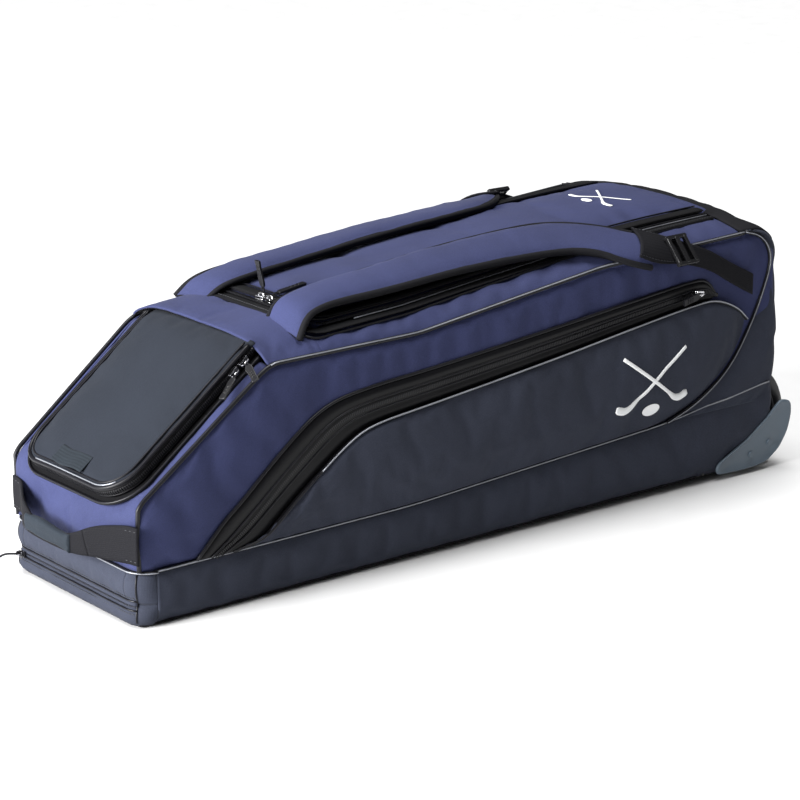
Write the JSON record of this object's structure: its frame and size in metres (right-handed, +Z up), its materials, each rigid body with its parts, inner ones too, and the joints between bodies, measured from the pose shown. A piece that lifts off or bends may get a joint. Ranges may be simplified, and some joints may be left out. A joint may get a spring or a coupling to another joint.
{
  "type": "wheeled equipment bag",
  "caption": "Wheeled sports equipment bag with a wedge nose, sloped front pocket, hinged lid, side pockets, shoulder straps and corner wheels.",
  "frame": {"origin": "under the middle of the bag, on the floor", "axes": "+X from the nose to the wheels, +Z up, -Y the right-hand side"},
  "size_m": [0.9802, 0.365, 0.343],
  "materials": {
    "shell_blue": "woven polyester, matt",
    "shell_charcoal": "woven polyester, matt",
    "panel_black": "woven polyester",
    "lining": "thin lining cloth",
    "board": "sheet plastic",
    "zip_tape": "zipper tape and coil",
    "webbing_black": "ribbed webbing",
    "grip_cloth": "wrapped grip",
    "strap_cloth": "padded, bound edge",
    "hard_guard": "moulded, satin",
    "moulded_black": "moulded",
    "tyre": "cast polyurethane",
    "hub": "moulded",
    "steel": "zinc plated",
    "zip_metal": "plated die casting",
    "pull_black": "moulded"
  },
  "bodies": {
    "root": {"axle_plates": "steel", "axles": "steel", "base_board": "board", "base_floor": "panel_black", "base_gusset_left": "shell_charcoal", "base_gusset_right": "shell_charcoal", "base_nose_sill": "shell_charcoal", "collar_panel": "shell_blue", "divider_panel": "lining", "end_cap": "shell_charcoal", "end_cap_top": "panel_black", "flap_zip_track": "zip_tape", "guard_screws": "steel", "lid_zip_track": "zip_tape", "nose_panel": "shell_blue", "pocket_lining": "lining", "side_panel_left": "shell_blue", "side_panel_right": "shell_blue", "side_pocket_left": "shell_charcoal", "side_pocket_right": "shell_charcoal", "side_zip_band_left": "zip_tape", "side_zip_band_right": "zip_tape", "skid_rails": "moulded_black", "slope_panel": "shell_blue", "top_rim_left": "shell_blue", "top_rim_right": "shell_blue", "wheel_bulkhead": "board", "wheel_guard_left": "hard_guard", "wheel_guard_right": "hard_guard", "wheel_tub_left": "moulded_black", "wheel_tub_right": "moulded_black"},
    "lid": {"lid_panel": "shell_blue"},
    "flap": {"flap_panel": "shell_charcoal", "flap_rim": "panel_black", "flap_label": "panel_black"},
    "handle": {"nose_handle": "webbing_black", "handle_grip": "grip_cloth"},
    "base_flap": {"base_nose_flap": "shell_charcoal"},
    "wheel_right": {"tyre_right": "tyre", "hub_right": "hub", "bearings_right": "steel"},
    "wheel_left": {"tyre_left": "tyre", "hub_left": "hub", "bearings_left": "steel"},
    "strap_right": {"strap_pad_right": "strap_cloth", "strap_webbing_right": "webbing_black"},
    "strap_left": {"strap_pad_left": "strap_cloth", "strap_webbing_left": "webbing_black"},
    "glide_right": {"tri_glide_right": "moulded_black"},
    "glide_left": {"tri_glide_left": "moulded_black"},
    "lid_slider_a": {"lid_slider_a": "zip_metal"},
    "lid_slider_b": {"lid_slider_b": "zip_metal"},
    "lid_pull_a": {"lid_pull_a": "pull_black"},
    "lid_pull_b": {"lid_pull_b": "pull_black"},
    "flap_slider_a": {"flap_slider_a": "zip_metal"},
    "flap_slider_b": {"flap_slider_b": "zip_metal"},
    "base_slider": {"base_slider": "zip_metal"},
    "side_slider_right": {"side_slider_right": "zip_metal"},
    "side_slider_left": {"side_slider_left": "zip_metal"}
  },
  "joints": [
    {"name": "wheel_right_spin", "type": "hinge", "parent": "root", "child": "wheel_right", "pos_m": [0.424, -0.145, 0.066], "axis": [0, 1, 0], "continuous": true},
    {"name": "wheel_left_spin", "type": "hinge", "parent": "root", "child": "wheel_left", "pos_m": [0.424, 0.145, 0.066], "axis": [0, 1, 0], "continuous": true},
    {"name": "lid_hinge", "type": "hinge", "parent": "root", "child": "lid", "pos_m": [0.3985, 0, 0.331], "axis": [0, 1, 0], "range_deg": [0, 70], "deforming": ["strap_pad_right", "strap_pad_left", "strap_webbing_right", "strap_webbing_left", "tri_glide_right", "tri_glide_left"]},
    {"name": "strap_right_swing", "type": "hinge", "parent": "root", "child": "strap_right", "pos_m": [-0.207, -0.068, 0.3], "axis": [0.9825, -0.1624, -0.0908], "range_deg": [0, 105], "deforming": ["strap_pad_right", "strap_webbing_right", "tri_glide_right"]},
    {"name": "glide_right_slide", "type": "slide", "parent": "strap_right", "child": "glide_right", "axis": [0.9515, -0.1825, -0.2477], "range_m": [0, 0.012], "deforming": ["strap_pad_right", "strap_webbing_right", "tri_glide_right"]},
    {"name": "strap_left_swing", "type": "hinge", "parent": "root", "child": "strap_left", "pos_m": [-0.207, 0.068, 0.3], "axis": [-0.9825, -0.1624, 0.0908], "range_deg": [0, 105], "deforming": ["strap_pad_left", "strap_webbing_left", "tri_glide_left"]},
    {"name": "glide_left_slide", "type": "slide", "parent": "strap_left", "child": "glide_left", "axis": [0.9515, 0.1825, -0.2477], "range_m": [0, 0.012], "deforming": ["strap_pad_left", "strap_webbing_left", "tri_glide_left"]},
    {"name": "flap_hinge", "type": "hinge", "parent": "root", "child": "flap", "pos_m": [-0.29281, 0, 0.28366], "axis": [0, 1, 0], "range_deg": [0, 110]},
    {"name": "handle_swing", "type": "hinge", "parent": "root", "child": "handle", "pos_m": [-0.4575, 0, 0.112], "axis": [0, 1, 0], "range_deg": [0, 45]},
    {"name": "base_flap_hinge", "type": "hinge", "parent": "root", "child": "base_flap", "pos_m": [-0.457, 0, 0.062], "axis": [0, 1, 0], "range_deg": [0, 80]},
    {"name": "lid_slider_a_slide", "type": "slide", "parent": "lid", "child": "lid_slider_a", "axis": [0, 1, 0], "range_m": [0, 0.075], "deforming": ["strap_pad_right", "strap_pad_left", "strap_webbing_right", "strap_webbing_left"]},
    {"name": "lid_slider_b_slide", "type": "slide", "parent": "lid", "child": "lid_slider_b", "axis": [0, -1, 0], "range_m": [0, 0.062], "deforming": ["strap_pad_right", "strap_pad_left", "strap_webbing_right", "strap_webbing_left"]},
    {"name": "lid_pull_a_flip", "type": "hinge", "parent": "lid_slider_a", "child": "lid_pull_a", "pos_m": [-0.2025, -0.008, 0.3047], "axis": [0, -1, 0], "range_deg": [-90, 0]},
    {"name": "lid_pull_b_flip", "type": "hinge", "parent": "lid_slider_b", "child": "lid_pull_b", "pos_m": [-0.2015, -0.024, 0.3047], "axis": [0, -1, 0], "range_deg": [0, 90]},
    {"name": "flap_slider_a_slide", "type": "slide", "parent": "root", "child": "flap_slider_a", "axis": [0.7983, 0, 0.6022], "range_m": [0, 0.007]},
    {"name": "flap_slider_b_slide", "type": "slide", "parent": "root", "child": "flap_slider_b", "axis": [-0.7983, 0, -0.6022], "range_m": [0, 0.12]},
    {"name": "base_slider_slide", "type": "slide", "parent": "root", "child": "base_slider", "axis": [0, -1, 0], "range_m": [0, 0.2]},
    {"name": "side_slider_right_slide", "type": "slide", "parent": "root", "child": "side_slider_right", "axis": [-0.993, 0.0478, -0.1084], "range_m": [0, 0.4]},
    {"name": "side_slider_left_slide", "type": "slide", "parent": "root", "child": "side_slider_left", "axis": [-0.993, -0.0478, -0.1084], "range_m": [0, 0.4]}
  ],
  "couplings": [
    {"joint": "strap_right_swing", "follows": "lid_hinge", "ratio": 1.5},
    {"joint": "strap_left_swing", "follows": "lid_hinge", "ratio": 1.5}
  ]
}
